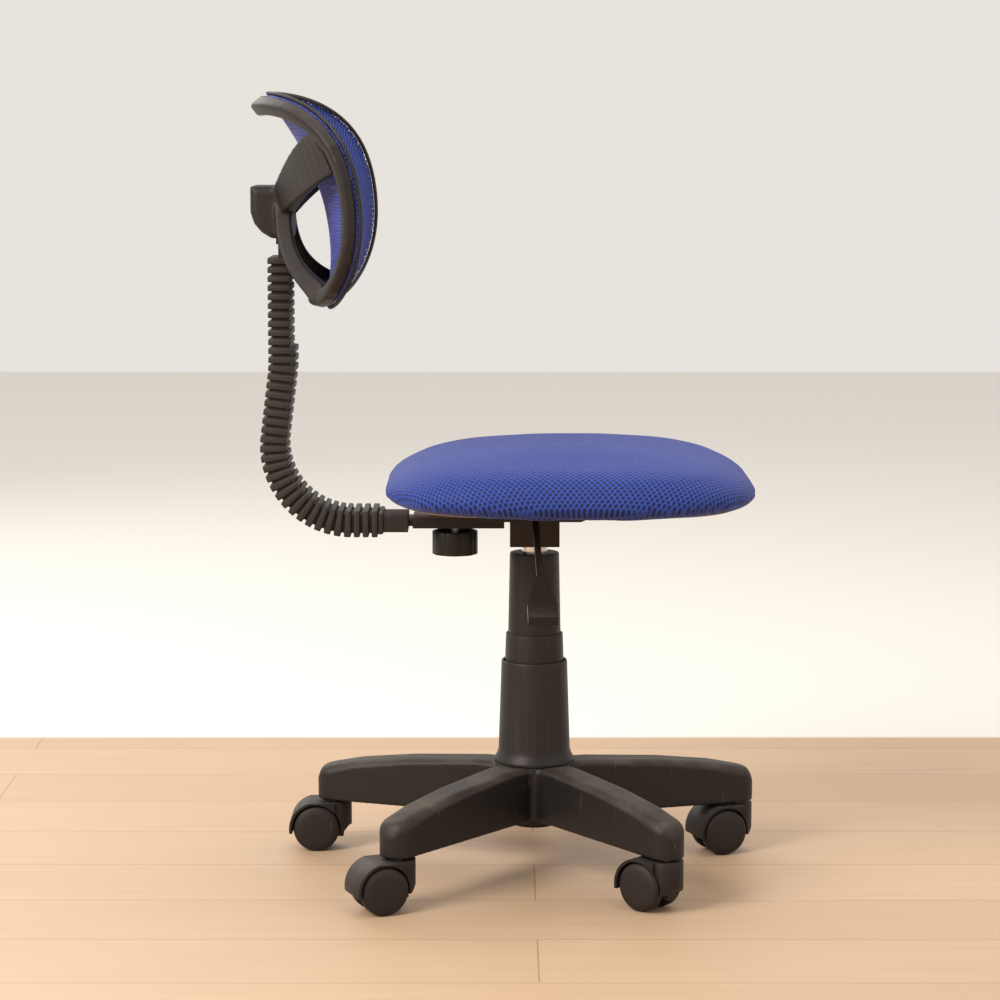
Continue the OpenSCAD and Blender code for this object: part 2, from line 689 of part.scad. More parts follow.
function boss_outline(c) = [
  [boss_back + c, boss_high_z - c], [boss_back + c, 698], [boss_back + 4 + c, 686], [boss_back + 12 + c, 677 + c],
  [boss_back + 22, boss_low_z + c], [boss_front, boss_low_z + c], [boss_front, boss_high_z - c]
];

module boss() hull() {
  side_slab((boss_half_y - boss_round) * 2, boss_outline(0));
  side_slab(boss_half_y * 2, boss_outline(boss_round));
}

bush_gap = 0.35;

module back_frame() color([0.12, 0.11, 0.105]) difference() {
  union() {
    hoop_rail(-mesh_gap - rail_d, -mesh_gap, -rail_w / 2, rail_w / 2, 2.5, rail_more);
    struts();
    mirror([0, 1, 0]) struts();
    boss();
  }
  translate([
    bar_x - bar_t / 2 - bush_wall - bush_gap, -bar_w / 2 - bush_wall - bush_gap, boss_low_z - 30
  ]) cube([bar_t + (bush_wall + bush_gap) * 2, bar_w + (bush_wall + bush_gap) * 2, 120]);
  translate([boss_back - 1, 0, 704]) rotate([0, 90, 0]) cylinder(r = 13, h = 9);
  translate([boss_back - 1, 0, 704]) rotate([0, 90, 0]) cylinder(r = screw_r + 0.1, h = 40);
}

module lock_screw() color([0.3, 0.3, 0.3]) translate([boss_back + 2, 0, 704]) rotate([0, 90, 0]) {
  cylinder(r = 10, h = 5.9);
  cylinder(r = screw_r, h = bar_x - bar_t / 2 - bush_wall - bush_gap - boss_back - 2);
}

module clip_ring() color([0.11, 0.105, 0.1])
  hoop_rail(mesh_t + mesh_gap, mesh_t + mesh_gap + clip_t, rail_w / 2 - clip_w, rail_w / 2, 1);

mesh_rows = 7;
mesh_cols = 72;

// One face of the mesh panel: its middle point, then rows of points outwards to its tucked edge
function mesh_face(lift) = concat(
  [face_at(0, 0, lift)],
  [for (r = [1:mesh_rows], c = [0:mesh_cols - 1]) let (a = (c + 0.5) * 360 / mesh_cols)
    face_at(a, r / mesh_rows, lift) + (r == mesh_rows ? mesh_tuck : 0) * hoop_side(a)]
);

module back_mesh() color([0.12, 0.2, 0.7]) {
  n = mesh_cols;
  face_size = 1 + mesh_rows * n;
  rim = 1 + (mesh_rows - 1) * n;
  front = concat(
    [for (c = [0:n - 1]) [0, 1 + (c + 1) % n, 1 + c]],
    [for (r = [0:mesh_rows - 2], c = [0:n - 1])
      [1 + r * n + c, 1 + r * n + (c + 1) % n, 1 + (r + 1) * n + (c + 1) % n, 1 + (r + 1) * n + c]]
  );
  back = [for (f = front) [for (i = [len(f) - 1:-1:0]) f[i] + face_size]];
  edge = [for (c = [0:n - 1]) [rim + c, rim + (c + 1) % n, face_size + rim + (c + 1) % n, face_size + rim + c]];
  polyhedron(concat(mesh_face(mesh_t), mesh_face(0)), concat(front, back, edge), convexity = 10);
}

star_base();
outer_tube();
guide_bush();
thrust_bearing();
retaining_clip();
lower_cover();
for (i = [0:arms - 1]) {
  caster_stem(i);
  caster_hood(i);
  caster_axle(i);
  wheel(i, 1);
  wheel(i, -1);
}
piston_rod();
piston();
pressure_tube();
rod_gland();
release_pin();
upper_cover();
middle_cover();
seat_plate();
lever_pin();
lever_rod();
lever_grip();
seat_board();
seat_bolts();
tee_nuts();
seat_cushion();
seat_cover();
depth_knob();
knob_screw();
spine_bar();
spine_cover();
bar_collar();
bar_bush();
back_frame();
back_mesh();
clip_ring();
lock_screw();
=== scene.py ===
import json
import math

import bpy
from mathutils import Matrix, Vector


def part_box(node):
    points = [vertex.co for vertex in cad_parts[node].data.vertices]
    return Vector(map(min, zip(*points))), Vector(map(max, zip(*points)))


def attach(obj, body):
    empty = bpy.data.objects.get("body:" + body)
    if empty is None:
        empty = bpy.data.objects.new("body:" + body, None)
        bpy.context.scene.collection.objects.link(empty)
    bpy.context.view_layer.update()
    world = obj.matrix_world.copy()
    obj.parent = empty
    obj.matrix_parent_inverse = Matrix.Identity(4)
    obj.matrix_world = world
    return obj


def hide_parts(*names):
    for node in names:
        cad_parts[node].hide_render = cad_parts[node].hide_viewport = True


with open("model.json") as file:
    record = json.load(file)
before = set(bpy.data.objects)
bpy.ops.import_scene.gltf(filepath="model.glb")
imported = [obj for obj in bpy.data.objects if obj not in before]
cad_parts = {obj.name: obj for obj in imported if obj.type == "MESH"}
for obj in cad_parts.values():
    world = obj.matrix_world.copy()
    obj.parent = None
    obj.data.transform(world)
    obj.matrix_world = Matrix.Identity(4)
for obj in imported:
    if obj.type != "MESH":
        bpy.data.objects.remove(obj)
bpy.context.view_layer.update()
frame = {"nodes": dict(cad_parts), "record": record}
nodes = frame["nodes"]
bodyOfNode = {}
for bodyName, members in frame["record"]["behaviour"]["bodies"].items():
    for member in members:
        bodyOfNode[member] = bodyName
print("frame loaded:", len(nodes), "nodes")
bpy.context.scene.view_settings.view_transform = "Standard"


# ---- helpers for selecting and finishing ----

def onlySelect(obj):
    bpy.ops.object.select_all(action="DESELECT")
    obj.select_set(True)
    bpy.context.view_layer.objects.active = obj


def copyOfNode(nodeName, pieceName):
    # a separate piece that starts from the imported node's own mesh, merged and with no materials
    mesh = nodes[nodeName].data.copy()
    piece = bpy.data.objects.new(pieceName, mesh)
    bpy.context.scene.collection.objects.link(piece)
    mesh.materials.clear()
    if mesh.has_custom_normals:
        onlySelect(piece)
        bpy.ops.mesh.customdata_custom_splitnormals_clear()
    onlySelect(piece)
    bpy.ops.object.mode_set(mode="EDIT")
    bpy.ops.mesh.select_all(action="SELECT")
    bpy.ops.mesh.remove_doubles(threshold=0.00002)
    bpy.ops.object.mode_set(mode="OBJECT")
    return piece


def applyModifiers(piece):
    onlySelect(piece)
    for modifier in list(piece.modifiers):
        bpy.ops.object.modifier_apply(modifier=modifier.name)


def softenEdges(piece, width, segments=2, angle=32):
    # flat faces become n-gons, then every sharp edge gets a small radius
    onlySelect(piece)
    bpy.ops.object.mode_set(mode="EDIT")
    bpy.ops.mesh.select_all(action="SELECT")
    bpy.ops.mesh.dissolve_limited(angle_limit=math.radians(1.0))
    bpy.ops.object.mode_set(mode="OBJECT")
    bevel = piece.modifiers.new("edgeRadius", "BEVEL")
    bevel.width = width
    bevel.segments = segments
    bevel.limit_method = "ANGLE"
    bevel.angle_limit = math.radians(angle)
    bevel.use_clamp_overlap = True
    applyModifiers(piece)
    bpy.ops.object.shade_smooth_by_angle(angle=math.radians(40))
    return piece


def divideKeepingRims(piece, levels, angle=50):
    # smoother along its length, while sharp rims stay where they were
    onlySelect(piece)
    bpy.ops.object.mode_set(mode="EDIT")
    bpy.ops.mesh.select_all(action="DESELECT")
    bpy.ops.mesh.select_mode(type="EDGE")
    bpy.ops.mesh.edges_select_sharp(sharpness=math.radians(angle))
    bpy.ops.transform.edge_crease(value=1.0)
    bpy.ops.mesh.select_mode(type="VERT")
    bpy.ops.object.mode_set(mode="OBJECT")
    divide = piece.modifiers.new("finer", "SUBSURF")
    divide.levels = divide.render_levels = levels
    applyModifiers(piece)
    bpy.ops.object.shade_smooth_by_angle(angle=math.radians(angle))


def standFor(piece, nodeNames, material):
    # the piece takes the place of one node, or of several that share a body
    if isinstance(nodeNames, str):
        nodeNames = (nodeNames,)
    piece.data.materials.clear()
    piece.data.materials.append(material)
    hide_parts(*nodeNames)
    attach(piece, bodyOfNode[nodeNames[0]])


# ---- shader groups that several finishes share ----

def newGroup(name, inputs, outputs):
    group = bpy.data.node_groups.new(name, "ShaderNodeTree")
    for socketName, socketType, value in inputs:
        socket = group.interface.new_socket(name=socketName, in_out="INPUT", socket_type=socketType)
        if value is not None:
            socket.default_value = value
    for socketName, socketType in outputs:
        group.interface.new_socket(name=socketName, in_out="OUTPUT", socket_type=socketType)
    return group, group.nodes.new("NodeGroupInput"), group.nodes.new("NodeGroupOutput")


def mathNode(tree, operation, first, second=None, clamp=False):
    node = tree.nodes.new("ShaderNodeMath")
    node.operation = operation
    node.use_clamp = clamp
    for index, value in enumerate((first, second)):
        if value is None:
            continue
        if isinstance(value, (int, float)):
            node.inputs[index].default_value = value
        else:
            tree.links.new(value, node.inputs[index])
    return node.outputs[0]


def noiseNode(tree, vector, scale, detail=4.0, roughness=0.5):
    node = tree.nodes.new("ShaderNodeTexNoise")
    node.inputs["Scale"].default_value = scale
    node.inputs["Detail"].default_value = detail
    node.inputs["Roughness"].default_value = roughness
    tree.links.new(vector, node.inputs["Vector"])
    return node.outputs[0]


def rampNode(tree, value, low, high):
    node = tree.nodes.new("ShaderNodeMapRange")
    node.clamp = True
    node.inputs["From Min"].default_value = low
    node.inputs["From Max"].default_value = high
    tree.links.new(value, node.inputs["Value"])
    return node.outputs[0]


def mixColor(tree, factor, first, second):
    node = tree.nodes.new("ShaderNodeMix")
    node.data_type = "RGBA"
    for index, value in ((0, factor), (6, first), (7, second)):
        if isinstance(value, (int, float)):
            node.inputs[index].default_value = value
        elif isinstance(value, (tuple, list)):
            node.inputs[index].default_value = (*value, 1.0) if len(value) == 3 else value
        else:
            tree.links.new(value, node.inputs[index])
    return node.outputs[2]


def buildMouldedSkin():
    # fine spark grain, cloudy handling marks, and on faces that look up patchy dust plus an even painted
    # highlight that lightens the tops
    group, given, made = newGroup(
        "mouldedSkin",
        [("Color", "NodeSocketColor", None), ("Dust Color", "NodeSocketColor", None),
         ("Grain Scale", "NodeSocketFloat", 1400.0), ("Dust", "NodeSocketFloat", 0.3),
         ("Roughness", "NodeSocketFloat", 0.5), ("Scuffs", "NodeSocketFloat", 0.3)],
        [("Color", "NodeSocketColor"), ("Roughness", "NodeSocketFloat"), ("Height", "NodeSocketFloat")])
    coords = group.nodes.new("ShaderNodeTexCoord").outputs["Object"]
    grain = group.nodes.new("ShaderNodeTexVoronoi")
    grain.feature = "SMOOTH_F1"
    group.links.new(coords, grain.inputs["Vector"])
    group.links.new(given.outputs["Grain Scale"], grain.inputs["Scale"])
    clouds = noiseNode(group, coords, 22.0, 5.0, 0.6)
    smudge = rampNode(group, clouds, 0.44, 0.72)
    fine = noiseNode(group, coords, 190.0, 3.0, 0.65)
    streak = group.nodes.new("ShaderNodeMapping")
    streak.inputs["Scale"].default_value = (1.0, 1.0, 0.16)
    streak.inputs["Rotation"].default_value = (0.5, 0.7, 0.3)
    group.links.new(coords, streak.inputs["Vector"])
    scratch = rampNode(group, noiseNode(group, streak.outputs[0], 260.0, 2.0, 0.5), 0.66, 0.74)
    scratch = mathNode(group, "MULTIPLY", scratch, given.outputs["Scuffs"])
    scratch = mathNode(group, "MULTIPLY", scratch, smudge)
    normal = group.nodes.new("ShaderNodeNewGeometry").outputs["Normal"]
    split = group.nodes.new("ShaderNodeSeparateXYZ")
    group.links.new(normal, split.inputs[0])
    # faces that look up are painted lighter: part patchy dust through the smudges, part an even painted
    # highlight on every top
    upward = rampNode(group, split.outputs["Z"], 0.1, 0.95)
    dustAndPaintedHighlight = mathNode(group, "MULTIPLY", upward, smudge)
    dustAndPaintedHighlight = mathNode(group, "ADD", dustAndPaintedHighlight, mathNode(group, "MULTIPLY", upward, 0.35))
    dustAndPaintedHighlight = mathNode(group, "MULTIPLY", dustAndPaintedHighlight, given.outputs["Dust"], clamp=True)
    specksAndPaintedHighlight = mathNode(group, "ADD", dustAndPaintedHighlight, mathNode(group, "MULTIPLY", scratch, 0.5), clamp=True)
    group.links.new(mixColor(group, specksAndPaintedHighlight, given.outputs["Color"], given.outputs["Dust Color"]),
                    made.inputs["Color"])
    rough = mathNode(group, "ADD", given.outputs["Roughness"], mathNode(group, "MULTIPLY", dustAndPaintedHighlight, 0.3))
    rough = mathNode(group, "ADD", rough, mathNode(group, "MULTIPLY", clouds, 0.14))
    rough = mathNode(group, "SUBTRACT", rough, mathNode(group, "MULTIPLY", scratch, 0.2), clamp=True)
    group.links.new(rough, made.inputs["Roughness"])
    height = mathNode(group, "ADD", grain.outputs["Distance"], mathNode(group, "MULTIPLY", fine, 0.5))
    height = mathNode(group, "SUBTRACT", height, mathNode(group, "MULTIPLY", scratch, 0.6))
    group.links.new(height, made.inputs["Height"])
    return group


def buildHexHoles():
    # a staggered field of round holes: Hole is 1 in a hole, Height is the rounded yarn between them
    group, given, made = newGroup(
        "hexHoles",
        [("Vector", "NodeSocketVector", None), ("Pitch", "NodeSocketFloat", 0.0055),
         ("Row", "NodeSocketFloat", 0.0048), ("Edge In", "NodeSocketFloat", 0.2),
         ("Edge Out", "NodeSocketFloat", 0.36)],
        [("Hole", "NodeSocketFloat"), ("Height", "NodeSocketFloat")])
    split = group.nodes.new("ShaderNodeSeparateXYZ")
    group.links.new(given.outputs["Vector"], split.inputs[0])
    across = mathNode(group, "DIVIDE", split.outputs["X"], given.outputs["Pitch"])
    twoRows = mathNode(group, "MULTIPLY", given.outputs["Row"], 2.0)
    along = mathNode(group, "DIVIDE", split.outputs["Y"], twoRows)
    ratio = mathNode(group, "DIVIDE", twoRows, given.outputs["Pitch"])
    distances = []
    for shift in (0.0, 0.5):
        x = mathNode(group, "SUBTRACT", mathNode(group, "FRACT", mathNode(group, "ADD", across, shift)), 0.5)
        y = mathNode(group, "SUBTRACT", mathNode(group, "FRACT", mathNode(group, "ADD", along, shift)), 0.5)
        y = mathNode(group, "MULTIPLY", y, ratio)
        square = mathNode(group, "ADD", mathNode(group, "MULTIPLY", x, x), mathNode(group, "MULTIPLY", y, y))
        distances.append(mathNode(group, "SQRT", square))
    distance = mathNode(group, "MINIMUM", distances[0], distances[1])
    edge = group.nodes.new("ShaderNodeMapRange")
    edge.interpolation_type = "SMOOTHSTEP"
    group.links.new(distance, edge.inputs["Value"])
    group.links.new(given.outputs["Edge In"], edge.inputs["From Min"])
    group.links.new(given.outputs["Edge Out"], edge.inputs["From Max"])
    group.links.new(mathNode(group, "SUBTRACT", 1.0, edge.outputs[0]), made.inputs["Hole"])
    group.links.new(edge.outputs[0], made.inputs["Height"])
    return group


mouldedSkin = buildMouldedSkin()
hexHoles = buildHexHoles()


# ---- finishes ----

def newMaterial(name):
    material = bpy.data.materials.new(name)
    material.use_nodes = True
    tree = material.node_tree
    return material, tree, tree.nodes["Principled BSDF"]


def bumpInto(tree, shader, height, strength, distance):
    bump = tree.nodes.new("ShaderNodeBump")
    bump.inputs["Strength"].default_value = strength
    bump.inputs["Distance"].default_value = distance
    tree.links.new(height, bump.inputs["Height"])
    tree.links.new(bump.outputs[0], shader.inputs["Normal"])


def mouldedPlastic(name, color, rough=0.5, grain=1400.0, dustAndPaintedHighlight=0.3, scuffs=0.3, bump=0.25, specular=0.3,
                   dustAndPaintedHighlightColor=(0.16, 0.13, 0.105)):
    material, tree, shader = newMaterial(name)
    skin = tree.nodes.new("ShaderNodeGroup")
    skin.node_tree = mouldedSkin
    skin.inputs["Color"].default_value = (*color, 1.0)
    # this colour and amount also paint the highlight that lightens upward faces
    skin.inputs["Dust Color"].default_value = (*dustAndPaintedHighlightColor, 1.0)
    skin.inputs["Grain Scale"].default_value = grain
    skin.inputs["Dust"].default_value = dustAndPaintedHighlight
    skin.inputs["Roughness"].default_value = rough
    skin.inputs["Scuffs"].default_value = scuffs
    tree.links.new(skin.outputs["Color"], shader.inputs["Base Color"])
    tree.links.new(skin.outputs["Roughness"], shader.inputs["Roughness"])
    shader.inputs["Specular IOR Level"].default_value = specular
    shader.inputs["Specular Tint"].default_value = (1.0, 0.90, 0.86, 1.0)
    bumpInto(tree, shader, skin.outputs["Height"], bump, 0.0006)
    return material


def brushedMetal(name, color, rough=0.3, grain=900.0):
    material, tree, shader = newMaterial(name)
    coords = tree.nodes.new("ShaderNodeTexCoord").outputs["Object"]
    cloud = noiseNode(tree, coords, 60.0, 4.0, 0.6)
    fine = noiseNode(tree, coords, grain, 2.0, 0.5)
    tree.links.new(mixColor(tree, cloud, tuple(c * 0.8 for c in color), color), shader.inputs["Base Color"])
    shader.inputs["Metallic"].default_value = 1.0
    tree.links.new(mathNode(tree, "ADD", mathNode(tree, "MULTIPLY", cloud, 0.25), rough - 0.1),
                   shader.inputs["Roughness"])
    bumpInto(tree, shader, fine, 0.1, 0.0002)
    return material


def layeredPly(name):
    material, tree, shader = newMaterial(name)
    coords = tree.nodes.new("ShaderNodeTexCoord").outputs["Object"]
    stretch = tree.nodes.new("ShaderNodeMapping")
    stretch.inputs["Scale"].default_value = (6.0, 60.0, 400.0)
    tree.links.new(coords, stretch.inputs["Vector"])
    figure = noiseNode(tree, stretch.outputs[0], 3.0, 6.0, 0.6)
    tree.links.new(mixColor(tree, figure, (0.36, 0.23, 0.12), (0.62, 0.45, 0.27)),
                   shader.inputs["Base Color"])
    shader.inputs["Roughness"].default_value = 0.7
    bumpInto(tree, shader, figure, 0.2, 0.0003)
    return material


def cutFoam(name):
    material, tree, shader = newMaterial(name)
    coords = tree.nodes.new("ShaderNodeTexCoord").outputs["Object"]
    cells = noiseNode(tree, coords, 900.0, 3.0, 0.7)
    tree.links.new(mixColor(tree, cells, (0.55, 0.5, 0.3), (0.85, 0.8, 0.55)), shader.inputs["Base Color"])
    shader.inputs["Roughness"].default_value = 0.95
    bumpInto(tree, shader, cells, 0.4, 0.0008)
    return material


# the fourth value also sets how strongly upward faces get the painted highlight
basePlastic = mouldedPlastic("basePlastic", (0.013, 0.0108, 0.0098), 0.40, 900.0, 0.42, 0.9, 0.45)
casterPlastic = mouldedPlastic("casterPlastic", (0.013, 0.0108, 0.0098), 0.42, 1000.0, 0.3, 0.6, 0.35)
wheelPlastic = mouldedPlastic("wheelPlastic", (0.0155, 0.0125, 0.0112), 0.50, 1000.0, 0.2, 1.0, 0.4)
coverPlastic = mouldedPlastic("coverPlastic", (0.0150, 0.0126, 0.0117), 0.38, 1100.0, 0.1, 0.25, 0.25)
framePlastic = mouldedPlastic("framePlastic", (0.0165, 0.0140, 0.0130), 0.44, 800.0, 0.14, 0.3, 0.5)
ribPlastic = mouldedPlastic("ribPlastic", (0.028, 0.0230, 0.0212), 0.46, 1200.0, 0.25, 0.3, 0.3)
trimPlastic = mouldedPlastic("trimPlastic", (0.0098, 0.0090, 0.0085), 0.36, 1400.0, 0.08, 0.4, 0.15)
blackSteel = mouldedPlastic("blackSteel", (0.007, 0.0064, 0.0061), 0.3, 2000.0, 0.1, 0.3, 0.1)
sealRubber = mouldedPlastic("sealRubber", (0.02, 0.02, 0.02), 0.7, 1200.0, 0.1, 0.1, 0.2)
paleBush = mouldedPlastic("paleBush", (0.66, 0.64, 0.58), 0.4, 1500.0, 0.1, 0.1, 0.1,
                          dustAndPaintedHighlightColor=(0.4, 0.37, 0.32))
zincSteel = brushedMetal("zincSteel", (0.56, 0.56, 0.54), 0.34)
chromedSteel = brushedMetal("chromedSteel", (0.75, 0.75, 0.76), 0.16)
brassPiston = brushedMetal("brassPiston", (0.72, 0.55, 0.26), 0.34)
plyBoard = layeredPly("plyBoard")
seatFoam = cutFoam("seatFoam")

finishBySlot = {
    "base_plastic": basePlastic, "caster_plastic": casterPlastic, "wheel_plastic": wheelPlastic,
    "cover_plastic": coverPlastic, "frame_plastic": framePlastic, "rib_plastic": ribPlastic,
    "trim_plastic": trimPlastic, "black_steel": blackSteel, "seal_rubber": sealRubber,
    "pale_bush": paleBush, "zinc_steel": zincSteel, "chromed_steel": chromedSteel,
    "brass_piston": brassPiston, "plywood": plyBoard, "foam": seatFoam,
}
slotOfNode = {part["node"]: part["material_slot"] for part in frame["record"]["subparts"]}
for nodeName, node in nodes.items():
    finish = finishBySlot.get(slotOfNode[nodeName])
    if finish:
        node.data.materials.clear()
        node.data.materials.append(finish)
print("finishes assigned")


# ---- cloth finishes ----

def knitSeatCloth(name):
    # spacer knit: bright ridged yarn round holes painted dark navy as the shade down in them, with a violet
    # bloom at a low angle
    material, tree, shader = newMaterial(name)
    uv = tree.nodes.new("ShaderNodeUVMap")
    uv.uv_map = "knit"
    coords = tree.nodes.new("ShaderNodeTexCoord").outputs["Object"]
    holes = tree.nodes.new("ShaderNodeGroup")
    holes.node_tree = hexHoles
    holes.inputs["Pitch"].default_value = 0.0064
    holes.inputs["Row"].default_value = 0.0042
    holes.inputs["Edge In"].default_value = 0.17
    holes.inputs["Edge Out"].default_value = 0.40
    wobble = tree.nodes.new("ShaderNodeVectorMath")
    wobble.operation = "SCALE"
    wobble.inputs["Scale"].default_value = 0.0016
    noiseColor = tree.nodes.new("ShaderNodeTexNoise")
    noiseColor.inputs["Scale"].default_value = 60.0
    tree.links.new(coords, noiseColor.inputs["Vector"])
    tree.links.new(noiseColor.outputs["Color"], wobble.inputs[0])
    placed = tree.nodes.new("ShaderNodeVectorMath")
    tree.links.new(uv.outputs[0], placed.inputs[0])
    tree.links.new(wobble.outputs[0], placed.inputs[1])
    tree.links.new(placed.outputs[0], holes.inputs["Vector"])
    cloud = noiseNode(tree, coords, 14.0, 3.0, 0.5)
    yarn = noiseNode(tree, coords, 1600.0, 2.0, 0.6)
    thread = mixColor(tree, rampNode(tree, yarn, 0.3, 0.7), (0.010, 0.035, 0.255), (0.021, 0.073, 0.385))
    thread = mixColor(tree, mathNode(tree, "MULTIPLY", cloud, 0.35), thread, (0.015, 0.040, 0.25))
    # the holes take a near-black navy: painted shade down in the holes
    cloth = mixColor(tree, holes.outputs["Hole"], thread, (0.003, 0.006, 0.060))
    tree.links.new(cloth, shader.inputs["Base Color"])
    shader.inputs["Roughness"].default_value = 0.62
    shader.inputs["Specular IOR Level"].default_value = 0.35
    shader.inputs["Sheen Weight"].default_value = 0.20
    shader.inputs["Sheen Roughness"].default_value = 0.35
    shader.inputs["Sheen Tint"].default_value = (0.42, 0.40, 0.95, 1.0)
    height = mathNode(tree, "ADD", holes.outputs["Height"], mathNode(tree, "MULTIPLY", yarn, 0.25))
    bumpInto(tree, shader, height, 0.75, 0.0011)
    return material


ribPitch = 0.0034


def knitBackCloth(name, ribbed):
    # open knit of the back: slanting diamonds in front, fine level ribs behind, both let light through; the
    # grooves between the ribs and the yarn round the holes carry painted shade
    material, tree, shader = newMaterial(name)
    coords = tree.nodes.new("ShaderNodeTexCoord").outputs["Object"]
    turned = tree.nodes.new("ShaderNodeMapping")
    turned.inputs["Rotation"].default_value = (0.0, math.radians(90), 0.0)
    tree.links.new(coords, turned.inputs["Vector"])
    holes = tree.nodes.new("ShaderNodeGroup")
    holes.node_tree = hexHoles
    holes.inputs["Pitch"].default_value = 0.0030 if ribbed else 0.0052
    holes.inputs["Row"].default_value = ribPitch if ribbed else 0.0030
    holes.inputs["Edge In"].default_value = 0.16 if ribbed else 0.24
    holes.inputs["Edge Out"].default_value = 0.30 if ribbed else 0.36
    tree.links.new(turned.outputs[0], holes.inputs["Vector"])
    yarn = noiseNode(tree, coords, 1800.0, 2.0, 0.6)
    if ribbed:
        low, high = (0.024, 0.044, 0.29), (0.044, 0.078, 0.44)
    else:
        low, high = (0.012, 0.038, 0.28), (0.026, 0.078, 0.44)
    thread = mixColor(tree, rampNode(tree, yarn, 0.3, 0.7), low, high)
    height = holes.outputs["Height"]
    if ribbed:
        split = tree.nodes.new("ShaderNodeSeparateXYZ")
        tree.links.new(coords, split.inputs[0])
        turns = mathNode(tree, "MULTIPLY", split.outputs["Z"], 2 * math.pi / ribPitch)
        wave = mathNode(tree, "SINE", turns)
        groove = rampNode(tree, wave, -1.0, 0.3)
        # the grooves between the ribs are painted dark navy: painted shade in the grooves
        thread = mixColor(tree, groove, (0.012, 0.015, 0.16), thread)
        height = mathNode(tree, "ADD", mathNode(tree, "MULTIPLY", height, 0.4), groove)
    # the yarn round each hole turns dark navy before the hole opens: painted shade at the hole rims
    tree.links.new(mixColor(tree, holes.outputs["Hole"], thread, (0.008, 0.012, 0.11)),
                   shader.inputs["Base Color"])
    open_ = rampNode(tree, holes.outputs["Hole"], 0.80, 0.90)
    tree.links.new(mathNode(tree, "SUBTRACT", 1.0, open_), shader.inputs["Alpha"])
    shader.inputs["Roughness"].default_value = 0.6
    shader.inputs["Sheen Weight"].default_value = 0.25
    shader.inputs["Sheen Roughness"].default_value = 0.35
    shader.inputs["Sheen Tint"].default_value = (0.55, 0.45, 0.95, 1.0)
    bumpInto(tree, shader, height, 0.6, 0.0007)
    return material


seatCloth = knitSeatCloth("seatCloth")
backClothFront = knitBackCloth("backClothFront", False)
backClothRear = knitBackCloth("backClothRear", True)


# ---- seat cover, inflated over its foam ----

seatSizes = {
    "voxel": 0.005,       # remesh size before the cloth is blown up
    "lift": 0.0018,       # the cover starts this far outside the foam
    "pressure": 4.0,
    "frames": 20,
    "cap": 0.0018,        # furthest that any point may move from there
    "rimSteps": 64,       # directions in which the board's outline is felt for
    "hem": 0.014,         # width of cloth turned under the board
    "wrapHeight": 0.02,
    "crown": 0.010,       # the knit lies flat this far down from the top
    "sideShare": 0.9,     # of the drop down the sides, added to the knit's reach
    "cloth": 0.0022,      # how far the hem hangs below the board
}


def buildSeatCover():
    piece = copyOfNode("seat_cushion", "seatCover")
    onlySelect(piece)
    piece.data.remesh_voxel_size = seatSizes["voxel"]
    bpy.ops.object.voxel_remesh()
    smooth = piece.modifiers.new("even", "SMOOTH")
    smooth.iterations = 6
    applyModifiers(piece)
    for vertex in piece.data.vertices:
        vertex.co += vertex.normal * seatSizes["lift"]
    start = [v.co.copy() for v in piece.data.vertices]
    cloth = piece.modifiers.new("air", "CLOTH")
    cloth.settings.use_pressure = True
    cloth.settings.uniform_pressure_force = seatSizes["pressure"]
    cloth.settings.tension_stiffness = 15
    cloth.settings.bending_stiffness = 3
    cloth.settings.effector_weights.gravity = 0
    scene = bpy.context.scene
    for step in range(1, seatSizes["frames"] + 1):
        scene.frame_set(step)
    applyModifiers(piece)
    scene.frame_set(1)
    for vertex, origin in zip(piece.data.vertices, start):
        move = vertex.co - origin
        if move.length > seatSizes["cap"]:
            move *= seatSizes["cap"] / move.length
        vertex.co = origin + move
    wrapBoard(piece)
    divide = piece.modifiers.new("finer", "SUBSURF")
    divide.levels = divide.render_levels = 1
    applyModifiers(piece)
    bpy.ops.object.shade_smooth()
    layKnit(piece)
    standFor(piece, ("seat_cover", "seat_cushion"), seatCloth)
    return piece


def wrapBoard(piece):
    # the rim reaches down over the board's edge, and the middle stays on top of the board
    lowZ = min(v.co.z for v in piece.data.vertices)
    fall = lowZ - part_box("seat_board")[0].z + seatSizes["cloth"]
    outline = [(v.co.x, v.co.y) for v in nodes["seat_board"].data.vertices]
    rim = []
    for step in range(seatSizes["rimSteps"]):
        turn = 2 * math.pi * step / seatSizes["rimSteps"]
        nx, ny = math.cos(turn), math.sin(turn)
        rim.append((nx, ny, max(nx * x + ny * y for x, y in outline)))
    for vertex in piece.data.vertices:
        x, y, z = vertex.co
        near = 1.0 - (z - lowZ) / seatSizes["wrapHeight"]
        if near > 0.0 and min(reach - nx * x - ny * y for nx, ny, reach in rim) < seatSizes["hem"]:
            vertex.co.z = z - fall * near


def layKnit(piece):
    # the knit runs out from the crown and down the sides, at its real size along both
    low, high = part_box("seat_cover")
    middle = (low + high) / 2
    layer = piece.data.uv_layers.new(name="knit")
    flat = {}
    for vertex in piece.data.vertices:
        x, y = vertex.co.x - middle.x, vertex.co.y - middle.y
        drop = max(0.0, high.z - vertex.co.z - seatSizes["crown"])
        reach = math.hypot(x, y) or 1e-9
        grow = (reach + drop * seatSizes["sideShare"]) / reach
        flat[vertex.index] = (x * grow + 1.0, y * grow + 1.0)
    for loop in piece.data.loops:
        layer.data[loop.index].uv = flat[loop.vertex_index]


seatCover = buildSeatCover()
print("seat cover:", len(seatCover.data.polygons), "faces")


# ---- back: mesh panel, frame and clip ring ----

meshSizes = {
    "curveAcross": 1.07,   # flat size over the size of its box
    "curveUp": 1.1,
    "frontFacing": 0.2,    # faces turned this far forward take the front cloth
}


